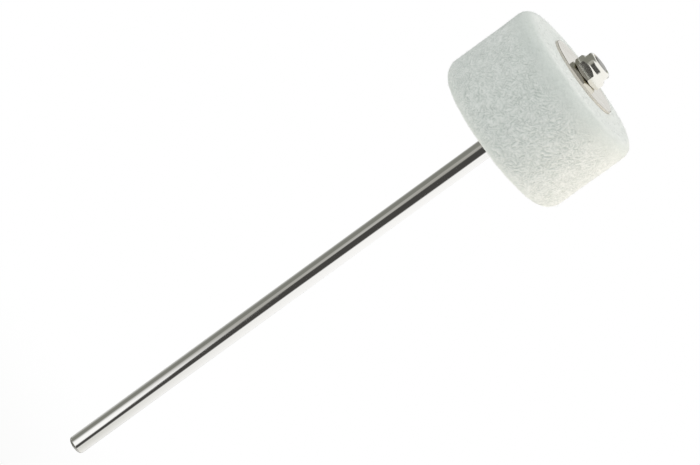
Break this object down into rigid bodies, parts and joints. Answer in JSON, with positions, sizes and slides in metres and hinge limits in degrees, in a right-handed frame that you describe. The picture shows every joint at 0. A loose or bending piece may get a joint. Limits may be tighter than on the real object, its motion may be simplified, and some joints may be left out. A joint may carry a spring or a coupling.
{
  "type": "bass drum beater",
  "caption": "Bass drum pedal beater: a short felt cylinder clamped on the threaded end of a straight plated steel rod by a wide washer and a self-locking nut.",
  "frame": {"origin": "on the rod's axis, 50 mm above the tip, where a pedal's clamp grips the rod", "axes": "+Z along the rod from the tip to the felt head, +X through a corner of the nut and the open side of the clip"},
  "size_m": [0.07, 0.07, 0.2668],
  "materials": {
    "plated_rod": "bright plated steel, drawn along the rod",
    "plated_nut": "bright plated steel",
    "plated_washer": "bright plated sheet steel, stamped",
    "spring_steel": "phosphated spring steel",
    "wool_felt": "hard pressed white wool felt",
    "nylon": "natural nylon"
  },
  "bodies": {
    "shaft": {"shaft": "plated_rod", "retaining_clip": "spring_steel"},
    "head": {"felt_head": "wool_felt", "lower_washer": "plated_washer"},
    "clamp_washer": {"upper_washer": "plated_washer"},
    "nut": {"nut_body": "plated_nut", "nylon_insert": "nylon"}
  },
  "joints": [
    {"name": "head_turn", "type": "hinge", "parent": "shaft", "child": "head", "pos_m": [0, 0, 0.1855], "axis": [0, 0, 1], "continuous": true},
    {"name": "washer_rise", "type": "slide", "parent": "shaft", "child": "clamp_washer", "axis": [0, 0, 1], "range_m": [0, 0.0025]},
    {"name": "nut_turn", "type": "hinge", "parent": "clamp_washer", "child": "nut", "pos_m": [0, 0, 0.2085], "axis": [0, 0, 1], "range_deg": [0, 720]}
  ],
  "couplings": [
    {"joint": "nut_turn", "follows": "washer_rise", "rad_per_m": 5026.5}
  ]
}
